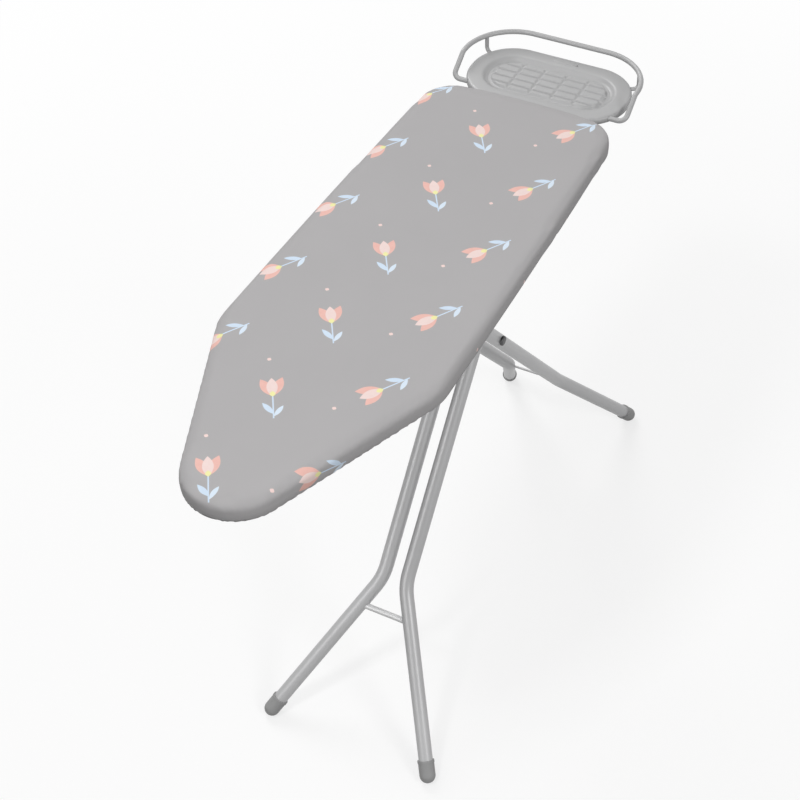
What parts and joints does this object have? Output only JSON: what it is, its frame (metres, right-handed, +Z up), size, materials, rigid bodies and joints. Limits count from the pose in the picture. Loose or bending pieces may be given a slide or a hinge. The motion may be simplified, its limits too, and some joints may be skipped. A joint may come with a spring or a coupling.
{
  "type": "ironing board",
  "caption": "Folding ironing board: padded cloth-covered top with a tapered nose, wire-railed iron rest at the square end and crossed tubular legs that fold flat.",
  "frame": {"origin": "on the floor, under the middle of the opened board's overall box", "axes": "+X from the nose to the iron rest, +Y to the left seen from the nose, +Z up"},
  "size_m": [1.1516, 0.3298, 0.852],
  "materials": {
    "cover_cloth": "printed cotton, matt",
    "pad_foam": "soft foam",
    "frame_paint": "grey powder coat",
    "leg_paint": "silver-grey powder coat",
    "rest_paint": "silver-grey powder coat",
    "foot_plastic": "moulded, fine grain",
    "dark_plastic": "moulded",
    "bright_steel": "zinc plated"
  },
  "bodies": {
    "board": {"cover": "cover_cloth", "foam_pad": "pad_foam", "mesh_top": "frame_paint", "rim_frame": "frame_paint", "rib_end": "frame_paint", "rib_middle": "frame_paint", "rib_nose": "frame_paint", "hinge_bracket": "frame_paint", "hinge_rod": "bright_steel", "guide_rail_left": "frame_paint", "guide_rail_right": "frame_paint", "iron_tray": "rest_paint", "rest_rail": "rest_paint", "rail_hook_left": "rest_paint", "rail_hook_right": "rest_paint", "rest_socket_left": "rest_paint", "rest_socket_right": "rest_paint", "rest_arm_left": "rest_paint", "rest_arm_right": "rest_paint"},
    "front_leg": {"front_sleeve": "leg_paint", "front_tube_left": "leg_paint", "front_tube_right": "leg_paint", "front_brace": "leg_paint", "front_foot_left": "foot_plastic", "front_foot_right": "foot_plastic", "pivot_bolt": "bright_steel", "pivot_nut": "bright_steel", "pivot_spacer_left": "bright_steel", "pivot_spacer_right": "bright_steel"},
    "rear_leg": {"rear_tube_left": "leg_paint", "rear_tube_right": "leg_paint", "rear_brace": "leg_paint", "rear_foot_left": "foot_plastic", "rear_foot_right": "foot_plastic", "slide_bar": "bright_steel", "slide_bush_left": "dark_plastic", "slide_bush_right": "dark_plastic", "tube_plug_left": "dark_plastic", "tube_plug_right": "dark_plastic"},
    "release": {"release_rod": "frame_paint", "release_grip": "dark_plastic", "release_comb": "frame_paint"}
  },
  "joints": [
    {"name": "front_leg_fold", "type": "hinge", "parent": "board", "child": "front_leg", "pos_m": [0.30997, 0, 0.7815], "axis": [0, 1, 0], "range_deg": [0, 47]},
    {"name": "leg_scissor", "type": "hinge", "parent": "front_leg", "child": "rear_leg", "pos_m": [0.11915, 0, 0.55002], "axis": [0, 1, 0], "range_deg": [-94, 0]},
    {"name": "height_release", "type": "hinge", "parent": "board", "child": "release", "pos_m": [-0.03066, 0, 0.7985], "axis": [0, 1, 0], "range_deg": [0, 4], "stiffness_Nm_per_rad": 3, "springref_deg": -5.73}
  ],
  "couplings": [
    {"joint": "leg_scissor", "follows": "front_leg_fold", "ratio": -2}
  ]
}
